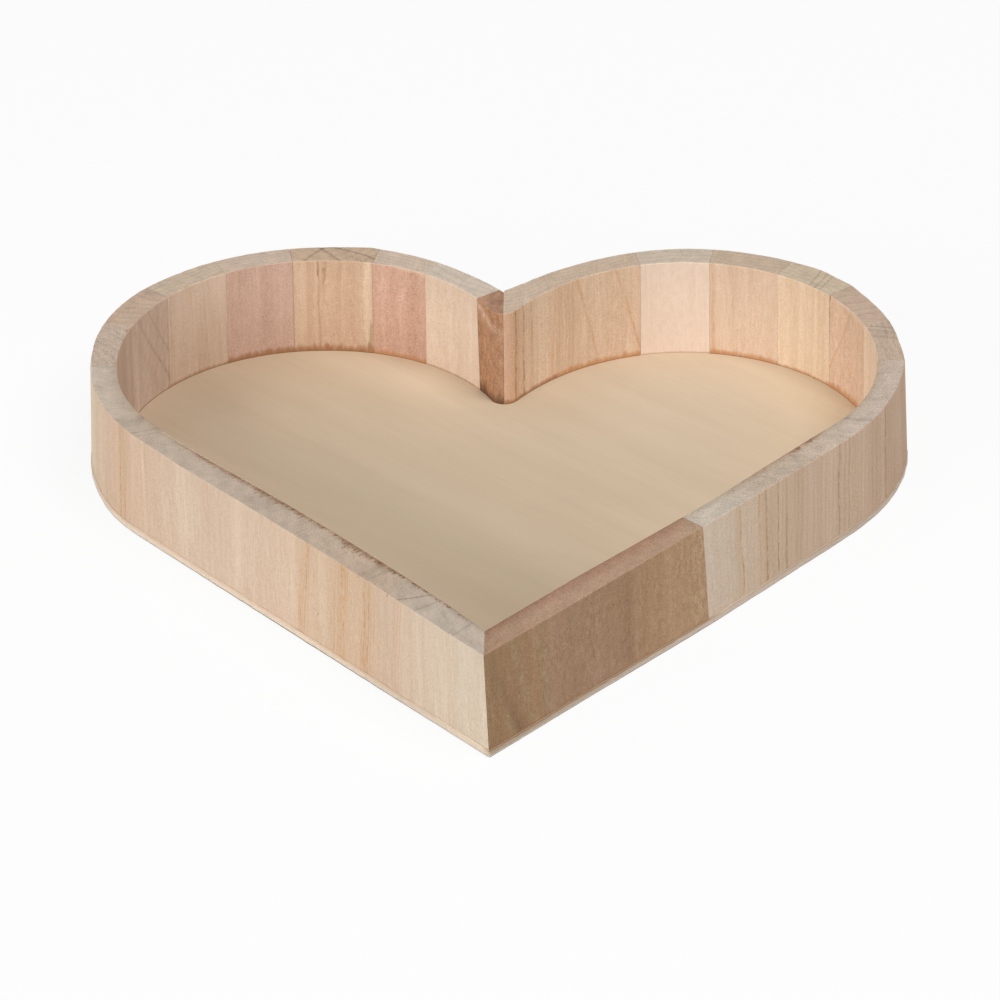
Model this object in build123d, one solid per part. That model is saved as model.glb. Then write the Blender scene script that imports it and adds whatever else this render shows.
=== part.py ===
from build123d import *
import math
import os

# Heart-shaped tray: a rim of upright wooden staves glued edge to edge on a thin three-ply base.
# The frame is +Z up, with the tip towards -Y, the cleft towards +Y and the base resting on Z = 0.

# Driving dimensions, in millimetres
overall_width = 300.0  # across the two lobes
overall_length = 285.0  # from the tip to the tops of the lobes
cleft_depth = 34.0  # from the tops of the lobes down to the outer cleft
wall = 10.5  # rim thickness
rim_height = 39.0  # staves, from the base to their open tops
nose_radius = 5.5  # rounding of the rim's inner corner at the cleft
right_tip_board = 115.0  # the right limb's front board, along its outside from the tip
back_veneer = 0.8  # base, lowest layer
core_veneer = 1.4  # base, middle layer
face_veneer = 0.8  # base, the layer seen inside the tray

# Joints between the staves. Each lobe is divided evenly from its first joint to the outer cleft,
# and the joints stand at these counts of that pitch, a little uneven as the pieces were cut.
pitches_to_cleft = 7
left_first_angle = -3.5  # degrees above the line through the lobe centres
right_first_angle = 0.0
left_joints = [0, 1.07, 2.02, 3.05, 4.03, 5.11, 5.95, 6.93]
right_joints = [0, 1.0, 1.97, 2.93, 3.97, 4.99, 6.4]

# Outline of the heart: each lobe is one arc through the cleft, and each limb is its tangent to the tip
lobe_radius = overall_width / 2 + cleft_depth - math.sqrt(overall_width * cleft_depth)
lobe_x = overall_width / 2 - lobe_radius
lobe_y = overall_length / 2 - lobe_radius
tip_y = -overall_length / 2
tip_to_centre = math.hypot(lobe_x, lobe_y - tip_y)
limb_angle = math.atan2(lobe_y - tip_y, lobe_x) - math.asin(lobe_radius / tip_to_centre)
tangent_angle = math.degrees(limb_angle) - 90
cleft_angle = 180 - math.degrees(math.acos(lobe_x / lobe_radius))
base_thickness = back_veneer + core_veneer + face_veneer
reach = overall_width + overall_length  # longer than anything that it cuts
wedge_step = 45  # degrees between the outer corners of a cutting wedge


def polar(angle, radius):
    return radius * math.cos(math.radians(angle)), radius * math.sin(math.radians(angle))


def from_lobe(angle, radius):
    x, y = polar(angle, radius)
    return lobe_x + x, lobe_y + y


def heart_face(inset, nose):
    # The heart drawn in by inset all round. With a nose radius its cleft is rounded, else it is sharp.
    radius = lobe_radius - inset
    lobe_end = 180 - math.degrees(math.acos(lobe_x / (radius + nose)))
    tip = (0, tip_y + inset / math.cos(limb_angle))
    limb = Line(tip, from_lobe(tangent_angle, radius))
    lobe = CenterArc((lobe_x, lobe_y), radius, tangent_angle, lobe_end - tangent_angle)
    half = [limb, lobe]
    edges = half + [mirror(edge, about=Plane.YZ) for edge in half]
    if nose > 0:
        nose_y = from_lobe(lobe_end, radius + nose)[1]
        edges.append(CenterArc((0, nose_y), nose, lobe_end - 180, 180 - 2 * lobe_end))
    return make_face(edges)


def wedge(start, end):
    # A sector about the lobe's centre, reaching past the rim
    steps = math.ceil((end - start) / wedge_step)
    angles = [start + (end - start) * i / steps for i in range(steps + 1)]
    return make_face(Polyline((lobe_x, lobe_y), *[from_lobe(a, reach) for a in angles], close=True))


def tip_slab(length):
    # Everything within this length of the tip, measured along a limb and cut square to it
    limb = math.degrees(limb_angle)
    along = polar(limb, 1)
    across = polar(limb + 90, 1)

    def place(distance, offset):
        x = along[0] * distance + across[0] * offset
        y = along[1] * distance + across[1] * offset
        return x, tip_y + y

    corners = [(-reach, -reach), (length, -reach), (length, reach), (-reach, reach)]
    return make_face(Polyline(*[place(*corner) for corner in corners], close=True))


def half_rim():
    # The rim's plan on the +X side of the mitre through the tip and the cleft
    rim = heart_face(0, 0) - heart_face(wall, nose_radius)
    return rim & Pos(reach / 2, 0) * Rectangle(reach, 2 * reach)


def stave(plan):
    return Pos(0, 0, base_thickness) * extrude(plan, rim_height)


def lobe_staves(rim, side, first_angle, joints):
    # The staves round one lobe, numbered from the side to the cleft, and the block mitred at the cleft
    pitch = (cleft_angle - first_angle) / pitches_to_cleft
    angles = [first_angle + pitch * joint for joint in joints]
    pieces = {}
    for i, (start, end) in enumerate(zip(angles, angles[1:]), 1):
        pieces[f"{side}_lobe_stave_{i}"] = stave(rim & wedge(start, end))
    pieces[f"{side}_cleft_block"] = stave(rim & wedge(angles[-1], 180))
    return pieces


def left_side(rim):
    # One long board makes the whole left limb
    pieces = {"left_limb_board": stave(rim & wedge(-180, left_first_angle))}
    pieces.update(lobe_staves(rim, "left", left_first_angle, left_joints))
    return {name: mirror(piece, about=Plane.YZ) for name, piece in pieces.items()}


def right_side(rim):
    # Two boards butted end to end make the right limb
    limb = rim & wedge(-180, right_first_angle)
    slab = tip_slab(right_tip_board)
    pieces = {
        "right_tip_board": stave(limb & slab),
        "right_limb_board": stave(limb - slab),
    }
    pieces.update(lobe_staves(rim, "right", right_first_angle, right_joints))
    return pieces


def base():
    # Three veneers under the whole rim, flush with its outside
    outline = heart_face(0, 0)
    layers = {
        "base_back_veneer": back_veneer,
        "base_core_veneer": core_veneer,
        "base_face_veneer": face_veneer,
    }
    pieces = {}
    bottom = 0.0
    for name, thickness in layers.items():
        pieces[name] = Pos(0, 0, bottom) * extrude(outline, thickness)
        bottom += thickness
    return pieces


def main():
    rim = half_rim()
    nodes = {**base(), **left_side(rim), **right_side(rim)}
    os.makedirs("parts", exist_ok=True)
    for name, shape in nodes.items():
        export_step(shape, f"parts/{name}.step")


main()
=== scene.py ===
import math
import bpy
import numpy as np
from mathutils import Matrix, Vector


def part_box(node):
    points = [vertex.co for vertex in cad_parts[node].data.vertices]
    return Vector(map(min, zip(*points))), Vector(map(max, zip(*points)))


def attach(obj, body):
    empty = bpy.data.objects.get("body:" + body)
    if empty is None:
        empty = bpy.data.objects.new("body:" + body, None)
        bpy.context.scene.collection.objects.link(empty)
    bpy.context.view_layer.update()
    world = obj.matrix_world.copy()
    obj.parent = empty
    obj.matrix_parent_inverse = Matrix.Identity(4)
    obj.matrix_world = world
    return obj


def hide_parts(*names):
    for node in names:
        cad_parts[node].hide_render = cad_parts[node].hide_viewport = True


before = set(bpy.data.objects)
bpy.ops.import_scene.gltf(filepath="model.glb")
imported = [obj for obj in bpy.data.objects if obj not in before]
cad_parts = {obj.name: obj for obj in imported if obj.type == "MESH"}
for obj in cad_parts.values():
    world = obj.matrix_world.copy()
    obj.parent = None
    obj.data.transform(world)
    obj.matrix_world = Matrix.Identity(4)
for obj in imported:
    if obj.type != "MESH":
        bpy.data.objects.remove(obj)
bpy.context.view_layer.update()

mm = 0.001

# the heart's own sizes, in metres and degrees
heart = {
    "width": 0.300,
    "length": 0.285,
    "cleftDepth": 0.034,
    "wall": 0.0105,
    "noseRadius": 0.0055,
    "rightTipBoard": 0.1153,   # along the outside, from the tip
    "pitchesToCleft": 7,
    "leftFirst": -3.5,
    "rightFirst": 0.0,
    "leftJoints": [0, 1.07, 2.02, 3.05, 4.03, 5.15, 5.95, 6.965],
    "rightJoints": [0, 1.0, 1.97, 2.93, 3.97, 4.99, 6.4],
}

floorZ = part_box("base_face_veneer")[1].z
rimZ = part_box("left_limb_board")[1].z

# each lobe is one arc through the cleft, each limb its tangent down to the tip
outerR = heart["width"] / 2 + heart["cleftDepth"] - math.sqrt(heart["width"] * heart["cleftDepth"])
innerR = outerR - heart["wall"]
lobeX = heart["width"] / 2 - outerR
lobeY = heart["length"] / 2 - outerR
tipY = -heart["length"] / 2
limbSlope = math.atan2(lobeY - tipY, lobeX) - math.asin(outerR / math.hypot(lobeX, lobeY - tipY))
tangentDeg = math.degrees(limbSlope) - 90
cleftDeg = 180 - math.degrees(math.acos(lobeX / outerR))
tip = np.array([0, tipY])
innerTip = np.array([0, tipY + heart["wall"] / math.cos(limbSlope)])
limbAlong = np.array([math.cos(limbSlope), math.sin(limbSlope)])   # tip to lobe, right side
limbInward = np.array([-limbAlong[1], limbAlong[0]])
print("heart: lobe radius", round(outerR, 4), "limb slope", round(math.degrees(limbSlope), 2))

# the rim is sanded by hand, so its outline stands a little off the true arcs: degrees round the lobe and
# mm outwards, and on the limbs mm from the tip and mm outwards; foot is how much further out the bottom is
sanding = {
    "cleftX": 1.3 * mm,         # where the cleft stands, to the right of the middle
    "tipLean": -1.4 * mm,       # how far the mitred tip leans sideways from foot to head
    "tipFade": 60 * mm,
    "left": {
        "outside": [
            (-41, 0.5), (-30, 0.1), (-20, -0.3), (-4, -0.9), (5, -0.85), (10, -0.4), (17, -0.1),
            (22, 0.2), (37, 0.4), (42, -0.15), (50, -0.6), (65, -0.85), (80, -0.8), (90, -0.6), (97, 0.2),
            (102, 1.1), (112, 0.7), (122, 0.45), (130, 0.2), (136, 0.5), (145, 1.3),
        ],
        "inside": [
            (-41, 0.4), (-20, 0.5), (-4, -0.1), (60, -0.25), (90, -0.2), (104, 0.4), (115, 0.8),
            (125, 1.1), (142, 1.0), (152, 0.6),
        ],
        "foot": [(-41, 0), (-30, 0.5), (-22, 0.4), (-16, 0.35), (-4, 0.9), (5, 0.6), (15, 0)],
        "limbInside": [
            (0, -0.3), (12, -0.3), (20, -0.9), (32, -1.5), (55, -2.0), (92, -2.1), (115, -1.8),
            (145, -0.8), (160, -0.1), (196, 0.4),
        ],
        "limbOutside": [
            (0, 0), (40, 0), (65, -0.25), (85, -0.35), (105, -0.25), (130, 0), (150, 0.5), (170, 0.9),
            (185, 0.8), (196, 0.5),
        ],
        "limbFoot": [
            (0, 0.25), (40, 0.15), (65, 0.37), (85, 0.53), (105, 0.5), (130, 0.34), (150, -0.09),
            (170, -0.44), (185, -0.31), (196, 0),
        ],
    },
    "right": {
        "outside": [
            (-41, -0.8), (-34, -1.5), (-20, -1.8), (-10, -1.7), (0, -1.0), (4, -1.3), (10, -1.75),
            (20, -1.1), (30, -0.8), (37, -0.3), (40, 0.45), (46, 0.3), (52, 0.85), (60, -0.1), (70, -0.8),
            (80, -1.1), (90, -1.35), (100, -2.0), (110, -2.7), (120, -3.0), (130, -2.5), (136, -2.1),
            (140, -1.0), (145, 0.5),
        ],
        "inside": [
            (-41, -0.8), (-25, -0.4), (0, -0.5), (40, -0.4), (60, -0.8), (80, -1.1), (100, -1.5),
            (112, -2.1), (130, -2.4), (142, -2.2), (152, -1.65),
        ],
        "foot": [(-41, -0.4), (-34, 0), (-25, 0.45), (-17, 0.9), (-9, 1.3), (0, 1.25), (8, 0.8), (18, 0)],
        "limbInside": [
            (0, -0.3), (12, -0.3), (25, -0.5), (60, -0.7), (95, 0.2), (130, 0.8), (160, -0.2),
            (170, -0.45), (185, -0.8), (196, -0.8),
        ],
        "limbOutside": [(0, 0), (150, 0), (196, -0.8)],
        "limbFoot": [
            (0, 0.4), (40, 0.7), (80, 1.0), (115, 1.1), (140, 0.5), (165, 0), (185, -0.1), (196, -0.4),
        ],
    },
}


# a soft step from 0 to 1 between two edges
def smooth(edge0, edge1, x):
    t = np.clip((x - edge0) / (edge1 - edge0), 0, 1)
    return t * t * (3 - 2 * t)


# sideways lean of the mitre, fading out along both limbs
def tipShift(x, y, rise):
    fade = 1 - smooth(0, sanding["tipFade"], np.hypot(x, y - tipY))
    return sanding["tipLean"] * (rise - 0.5) * fade


# where the mitre at the cleft stands, measured towards this side
def mitreX(side):
    return sanding["cleftX"] * (1 if side == "right" else -1)


# how far a sanded edge stands off its true line
def offLine(side, edge, where):
    return np.interp(where, *zip(*sanding[side][edge])) * mm


# points about the right lobe's centre, by degrees and radius
def fromLobe(deg, radius):
    a = np.radians(deg)
    return np.stack([lobeX + radius * np.cos(a), lobeY + radius * np.sin(a)], -1)


# points on a sanded lobe arc, the radius following the sanding
def lobeArc(side, edge, start, end, count):
    deg = np.linspace(start, end, count)
    return fromLobe(deg, (outerR if edge == "outside" else innerR) + offLine(side, edge, deg))


# points on a limb: a straight run from the bend towards the tip, standing off its line by the sanding
def limbRun(side, edge, start, end, count):
    t = np.linspace(0, 1, count)[:, None]
    points = np.asarray(start) * (1 - t) + np.asarray(end) * t
    fromTip = (points - tip) @ limbAlong / mm
    off = offLine(side, "limb" + edge.capitalize(), fromTip)
    return points - limbInward * off[:, None]


# length walked along a polyline, at each of its points
def walkLength(points):
    return np.concatenate([[0], np.cumsum(np.hypot(*np.diff(points, axis=0).T))])


# points of a polyline at these lengths, where walked gives its own
def pointsAt(lengths, walked, points):
    return np.stack([np.interp(lengths, walked, points[:, i]) for i in (0, 1)], 1)


# a polyline walked again at even steps of its own length
def evenSteps(points, count):
    walked = walkLength(points)
    return pointsAt(np.linspace(0, walked[-1], count), walked, points)


fine = 0.33 * mm  # spacing of the surface grids along the rim


# outside and inside edges of one lobe stave in plan: two arcs between the same two joint angles
def lobePlan(side, start, end):
    count = max(8, int(outerR * math.radians(end - start) / fine))
    foot = offLine(side, "foot", np.linspace(start, end, count))
    return lobeArc(side, "outside", start, end, count), lobeArc(side, "inside", start, end, count), foot


cleft = {
    "noseDeg": 152,        # about where the inside arc meets the nose
    "pastDeg": 150,        # beyond the outer cleft on either lobe
    "columns": 90,
    "nosePoints": 40,
    "arcPoints": 400,
}


# a cleft block: outside from the last joint to the cleft, inside on round the nose to the mitre,
# the nose an arc that touches the inside arc and ends on the mitre's line
def cleftPlan(side, start):
    mitre = mitreX(side)
    columns = cleft["columns"]
    radius = heart["noseRadius"]
    reach = innerR + offLine(side, "inside", cleft["noseDeg"]) + radius
    turn = math.acos((mitre - lobeX) / reach)
    noseY = lobeY + reach * math.sin(turn)
    a = np.radians(np.linspace(math.degrees(turn) - 180, -90, cleft["nosePoints"]))
    nose = np.stack([mitre + radius * np.cos(a), noseY + radius * np.sin(a)], 1)
    inside = np.concatenate([lobeArc(side, "inside", start, math.degrees(turn), columns), nose[1:]])
    outside = lobeArc(side, "outside", start, cleft["pastDeg"], cleft["arcPoints"])
    outside = outside[outside[:, 0] > mitre]
    outside[-1, 0] = mitre
    return evenSteps(outside, columns), evenSteps(inside, columns), np.zeros(columns)


# a limb board: down the lobe's arc to the tangent point, then straight to where it is cut or mitred
def limbPlan(side, first, fromTip=0.0):
    bend = int(outerR * math.radians(first - tangentDeg) / fine)
    out0, in0 = fromLobe(tangentDeg, outerR), fromLobe(tangentDeg, innerR)
    out1, in1 = tip, innerTip
    if fromTip:
        out1 = out1 + limbAlong * fromTip
        in1 = out1 + limbInward * heart["wall"]
    count = int(np.hypot(*(out0 - out1)) / fine)
    outside = np.concatenate([lobeArc(side, "outside", first, tangentDeg, bend),
                              limbRun(side, "outside", out0, out1, count)[1:]])
    inside = np.concatenate([lobeArc(side, "inside", first, tangentDeg, bend),
                             limbRun(side, "inside", in0, in1, count)[1:]])
    straight = (outside[bend:] - tip) @ limbAlong / mm
    foot = np.concatenate([offLine(side, "foot", np.linspace(first, tangentDeg, bend)),
                           offLine(side, "limbFoot", straight)])
    return outside, inside, foot


# the board at the tip: straight from its square joint to the mitre
def tipPlan(side, fromTip):
    out0 = tip + limbAlong * fromTip
    in0 = out0 + limbInward * heart["wall"]
    count = int(fromTip / fine)
    return (limbRun(side, "outside", out0, tip, count), limbRun(side, "inside", in0, innerTip, count),
            offLine(side, "limbFoot", np.linspace(fromTip / mm, 0, count)))


# smooth noise as a sum of seeded sine waves over any arrays, about -1 to 1
def ripple(seed, count, low, high, *coords):
    rng = np.random.default_rng(seed)
    total = np.zeros(np.broadcast(*coords).shape)
    for _ in range(count):
        wave = rng.uniform(0, 2 * math.pi)
        for c, lo, hi in zip(coords, np.atleast_1d(low), np.atleast_1d(high)):
            wave = wave + c * rng.uniform(lo, hi) * rng.choice([-1, 1])
        total += np.sin(wave)
    return total / math.sqrt(count)


# what every upright piece of the rim shares
rimMake = {
    "jointGap": 0.05 * mm,     # half of the hairline at each joint
    "outerArris": 0.45 * mm,
    "innerArris": 0.35 * mm,
    "outerWear": 0.12,         # how unevenly the arrises are worn
    "innerWear": 0.2,
    "faceRows": 16,
    "arrisRows": 5,
    "topRows": (9, 15),        # closer together towards the inside
    "topSplit": 0.72,
    "bottomRows": 4,
    "faceRelief": 0.03 * mm,
    "topRelief": 0.02 * mm,
    "tornDeep": 0.35 * mm,
    "tornWide": 2.0,           # mm where the tear is at full strength
    "toothLean": 0.45,
    "fringeRelief": 0.12 * mm,
}


def newMesh(name, points, faces):
    mesh = bpy.data.meshes.new(name)
    mesh.from_pydata(points, [], faces)
    mesh.update()
    piece = bpy.data.objects.new(name, mesh)
    bpy.context.scene.collection.objects.link(piece)
    return piece


def setAttribute(piece, name, values):
    layer = piece.data.attributes.new(name, "FLOAT", "POINT")
    layer.data.foreach_set("value", np.ascontiguousarray(values, dtype=np.float32).ravel())


# one value for each point of a grid, then one for the middle of each end
def withEnds(values, shape, ends):
    return np.concatenate([np.broadcast_to(values, shape).ravel(), ends])


# An upright rim piece: a closed section (up the outside, over the top, down the inside, back underneath)
# carried along the piece's plan. A section point lies at share * width + offset from the outside edge.
# Where the saw tore the inner top edge, the top drops into a ragged groove behind a thin standing fringe.
def rimPiece(name, plan, mirrored, seed, wood, walkShare):
    outside, inside, foot = plan
    m = rimMake
    along = walkLength(outside * (1 - walkShare) + inside * walkShare)
    cut = m["jointGap"] / along[-1]
    t = np.linspace(cut, 1 - cut, len(outside)) * along[-1]
    outside, inside = pointsAt(t, along, outside), pointsAt(t, along, inside)
    foot = np.interp(t, along, foot)
    width = np.hypot(*(inside - outside).T)
    inward = (inside - outside) / width[:, None]
    top = rimZ + wood["lift"] * mm
    ra = m["outerArris"] * (1 + m["outerWear"] * ripple(seed, 9, 150, 1500, t))
    rb = m["innerArris"] * (1 + m["innerWear"] * ripple(seed + 3, 9, 150, 1500, t))
    quarter = np.linspace(0, math.pi / 2, m["arrisRows"])
    up = np.linspace(0, 1, m["faceRows"])
    split, (sparse, dense) = m["topSplit"], m["topRows"]
    over = np.concatenate([np.linspace(0, split, sparse), np.linspace(split, 1, dense)[1:]])
    under = np.linspace(0, 1, m["bottomRows"] + 2)[1:-1]
    zero, one = np.zeros_like, np.ones_like
    q, o = quarter[1:], over[1:-1]
    # share of width, then the outer and the inner arris's part in the depth, and in the drop from the top
    share = np.concatenate([zero(up), zero(q), o, one(quarter), one(up[1:]), 1 - under])
    da = np.concatenate([zero(up), 1 - np.cos(q), 1 - o, zero(quarter), zero(up[1:]), zero(under)])
    db = np.concatenate([zero(up), zero(q), -o, np.sin(quarter) - 1, zero(up[1:]), zero(under)])
    rise = np.concatenate([up, one(q), one(o), one(quarter), 1 - up[1:], zero(under)])
    za = np.concatenate([up, 1 - np.sin(q), zero(o), zero(quarter), zero(up[1:]), zero(under)])
    zb = np.concatenate([zero(up), zero(q), zero(o), 1 - np.cos(quarter), 1 - up[1:], zero(under)])
    isTop = np.concatenate([zero(up), np.sin(q) ** 2, one(o), np.cos(quarter) ** 2, zero(up[1:]), one(under)])
    facing = np.concatenate([-one(up), -np.cos(q), zero(o), np.sin(quarter), one(up[1:]), zero(under)])
    onTop = (rise == 1) & ((share > 0) | (isTop > 0))
    depth = share * width[:, None] + da * ra[:, None] + db * rb[:, None]
    z = floorZ + rise * (top - floorZ) - za * ra[:, None] - zb * rb[:, None]
    tt = t[:, None] + zero(z)
    # grain stands up and down the faces, and the cut tops are fuzzy
    grain = ripple(seed + 4, 16, [200, 5], [3000, 60], tt, z)
    fuzz = ripple(seed + 5, 22, [500, 500], [4000, 4000], tt, depth)
    # the torn groove: how strong it is along the board, how far it keeps from the inner edge, how wide
    strong = np.interp(t / mm, *zip(*wood["torn"]))[:, None]
    keep = np.interp(t / mm, *zip(*wood["fringe"]))[:, None]
    fromEdge = (width[:, None] - depth) / mm
    teeth = ripple(seed + 6, 30, [1800, 100], [7500, 700], tt - m["toothLean"] * depth, depth)
    swell = ripple(seed + 7, 12, 150, 1100, tt)
    wide = keep + strong * np.clip(m["tornWide"] + 0.9 * teeth + 0.6 * swell, 0.1, None)
    torn = smooth(keep * 0.6, keep * 1.1, fromEdge) * (1 - smooth(wide - 0.7, wide + 0.4, fromEdge))
    torn = torn * np.clip(strong * 1.4 + 0.35 * swell * strong, 0, 1) * isTop * onTop
    fringe = (1 - smooth(keep * 0.6, keep * 1.05, fromEdge)) * np.clip(strong * 1.6, 0, 1) * onTop
    depth = depth + facing * m["faceRelief"] * grain - (foot[:, None] * (1 - rise)) * (1 - share)
    depth = depth + m["fringeRelief"] * fringe * np.clip(teeth, -1, 1.5)
    z = z + onTop * isTop * m["topRelief"] * fuzz - torn * m["tornDeep"] * (0.75 + 0.35 * teeth)
    x = outside[:, :1] + inward[:, :1] * depth
    y = outside[:, 1:] + inward[:, 1:] * depth
    # a butt joint that isn't plumb: the end leans, fading out along the board
    lean, leanFrom, leanFade = wood["lean"]
    ahead = np.gradient(outside, axis=0)
    ahead = ahead / np.hypot(*ahead.T)[:, None]
    fade = 1 - smooth(0, leanFade * mm, abs(t - leanFrom * along[-1]))
    shift = lean * mm * (rise - 0.5) * fade[:, None]
    x = x + ahead[:, :1] * shift
    y = y + ahead[:, 1:] * shift
    if mirrored:
        x = -x
    x = x + tipShift(x, y, rise)
    rows, cols = z.shape
    points = np.stack([x, y, z], 2).reshape(-1, 3)
    i = np.arange(rows - 1)[:, None] * cols
    j = np.arange(cols)[None, :]
    k = (j + 1) % cols
    quads = np.stack([i + j, i + k, i + cols + k, i + cols + j], 2).reshape(-1, 4)
    caps = points.reshape(rows, cols, 3)[[0, -1]].mean(1)
    first = len(points)
    points = np.concatenate([points, caps])
    j, k = j[0], k[0]
    startFan = np.stack([k, j, np.full(cols, first)], 1)
    endFan = np.stack([(rows - 1) * cols + j, (rows - 1) * cols + k, np.full(cols, first + 1)], 1)
    if mirrored:
        quads, startFan, endFan = quads[:, ::-1], startFan[:, ::-1], endFan[:, ::-1]
    piece = newMesh(name, points.tolist(), quads.tolist() + startFan.tolist() + endFan.tolist())
    middles = [width[0] / 2, width[-1] / 2]
    layers = {
        "along": (tt, [t[0], t[-1]]),
        "depth": (depth, middles),
        "fromInner": (width[:, None] - depth, middles),
        "endGrain": (isTop, [0, 0]),
        "inside": (facing > 0.3, [0, 0]),
        "torn": (torn, [0, 0]),
        "fringe": (fringe, [0, 0]),
    }
    for layer, (values, ends) in layers.items():
        setAttribute(piece, layer, withEnds(values, z.shape, ends))
    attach(piece, "root")
    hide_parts(name)
    return piece


# one socket of a material; sums and products of sockets add Math nodes, add() makes any other node
class Strand:
    def __init__(self, socket):
        self.socket = socket
        self.tree = socket.id_data

    def add(self, kind, settings=None, inputs=None, out=0):
        node = self.tree.nodes.new(kind)
        for key, value in (settings or {}).items():
            setattr(node, key, value)
        for key, value in (inputs or {}).items():
            if isinstance(value, Strand):
                self.tree.links.new(value.socket, node.inputs[key])
            else:
                node.inputs[key].default_value = value
        return Strand(node.outputs[out])

    def maths(self, operation, *others):
        return self.add("ShaderNodeMath", {"operation": operation}, dict(enumerate([self, *others])))

    def __add__(self, other):
        return self.maths("ADD", other)

    def __sub__(self, other):
        return self.maths("SUBTRACT", other)

    def __mul__(self, other):
        return self.maths("MULTIPLY", other)

    def __truediv__(self, other):
        return self.maths("DIVIDE", other)

    def __rsub__(self, other):
        return self.add("ShaderNodeMath", {"operation": "SUBTRACT"}, {0: other, 1: self})

    __radd__ = __add__
    __rmul__ = __mul__

    def clamp(self):
        return self.add("ShaderNodeClamp", None, {0: self})

    def step(self, low, high):
        soft = {"interpolation_type": "SMOOTHSTEP"}
        return self.add("ShaderNodeMapRange", soft, {0: self, 1: low, 2: high})

    def attribute(self, name):
        return self.add("ShaderNodeAttribute", {"attribute_name": name}, None, "Fac")

    def vector(self, x, y, z):
        return self.add("ShaderNodeCombineXYZ", None, {0: x, 1: y, 2: z})

    # x, y or z of this place, in mm
    def axis(self, index):
        return self.add("ShaderNodeSeparateXYZ", None, {0: self}, index) / mm

    # 1 where this, and a second socket if there is one, is zero, fading away on all sides
    def bell(self, other=None):
        square = self * self if other is None else self * self + other * other
        return (square * -1.0).maths("EXPONENT")

    # cloud noise about zero, mostly within -1 to 1
    def noise(self, x, y, z, detail=2.0, rough=0.5):
        spot = self.vector(x, y, z)
        cloud = self.add("ShaderNodeTexNoise", None,
                         {"Vector": spot, "Scale": 1.0, "Detail": detail, "Roughness": rough})
        return (cloud - 0.5) * 4.0

    def blend(self, base, over):
        sockets = {0: self, 6: colour(base), 7: colour(over)}
        return self.add("ShaderNodeMix", {"data_type": "RGBA"}, sockets, 2)

    def scale(self, tint):
        return self.add("ShaderNodeVectorMath", {"operation": "SCALE"}, {0: tint, 3: self})

    def tinted(self, tint):
        return self.add("ShaderNodeVectorMath", {"operation": "MULTIPLY"}, {0: self, 1: tint})

    # a colour that changes with this socket, from stops of (value, colour), or one plain colour
    def ramp(self, stops):
        if not isinstance(stops, list):
            return self.vector(*stops)
        low = stops[0][0]
        span = stops[-1][0] - low
        strand = self.add("ShaderNodeValToRGB", None, {0: (self - low) / span})
        marks = strand.socket.node.color_ramp.elements
        for at, _ in stops[1:-1]:
            marks.new((at - low) / span)
        for mark, (at, tint) in zip(marks, stops):
            mark.color = (*tint, 1.0)
        return strand


def colour(value):
    return value if isinstance(value, Strand) else (*value, 1.0)


bareGloss = 0.06   # bare wood hardly shines


def newLook(name):
    look = bpy.data.materials.new(name)
    look.use_nodes = True
    shader = look.node_tree.nodes["Principled BSDF"]
    shader.inputs["Specular IOR Level"].default_value = bareGloss
    return look, shader, Strand(look.node_tree.nodes.new("ShaderNodeTexCoord").outputs["Object"])


def wire(shader, name, strand):
    strand.tree.links.new(strand.socket, shader.inputs[name])


# colours that mark bare wood
stains = {
    "orange": (0.57, 0.285, 0.115),
    "brown": (0.48, 0.28, 0.145),
    "umber": (0.35, 0.20, 0.11),
    "rose": (0.64, 0.41, 0.31),
    "pale": (0.86, 0.69, 0.51),
    "tan": (0.64, 0.44, 0.27),
    "olive": (0.40, 0.31, 0.18),
    "resin": (0.30, 0.14, 0.05),
    "smear": (0.74, 0.52, 0.39),
    "bark": (0.21, 0.125, 0.07),
}
tornTints = {"rag": (0.40, 0.245, 0.155), "grooveShade": (0.14, 0.075, 0.04), "fringe": (0.66, 0.51, 0.37)}
# colours of the darker band at the inside foot, of the hairline under it and of the glue line outside
footTints = {"brown": (0.43, 0.205, 0.095), "orange": (0.60, 0.29, 0.125), "dark": (0.17, 0.085, 0.045)}

# grain patterns: how fast each changes along the rim, across it and up it, then detail and roughness
patterns = {
    "wander": (0.05, 0.05, 0.05, 1.0, 0.5),
    "mottle": (0.55, 0.55, 0.3, 2.0, 0.6),
    "grit": (1.9, 1.9, 1.5, 1.0, 0.6),
    "fibre": (2.4, 2.4, 0.11, 2.0, 0.65),
    "band": (0.6, 0.5, 0.022, 1.0, 0.5),
    "broad": (0.13, 0.1, 0.012, 1.0, 0.5),
    "pit": (1.25, 1.25, 0.75, 1.0, 0.5),
}

# what a piece of wood is like where its own entry says nothing else
plainWood = {
    "rise": 0, "sway": 0.6, "bands": 0.3, "broad": 0.05, "fibre": 0.05, "mottle": 0.035, "grit": 0.08,
    "dashes": 0.14, "dashShort": 0.4, "dashRare": 0.7, "pits": 0,
    "foot": 0.5, "footHigh": 1.3, "footRagged": 0.45, "footColour": "brown", "hair": 0.5, "seam": 0.25,
    "topSpeck": 1, "topCloud": 0.07, "topRings": 0.1, "topAcross": 0, "lift": 0, "lean": (0, 0, 30),
    "streaks": [], "knotsAndHighlights": [], "topLines": [], "topStripes": [],
    "torn": [(0, 0), (1, 0)], "fringe": [(0, 0.25), (1, 0.25)],
}
boardTall = 39.0   # mm, foot to head
boardHalf = 5.2    # mm, half the thickness
seedApart = 61.7   # mm, keeps each piece's pattern its own


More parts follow.
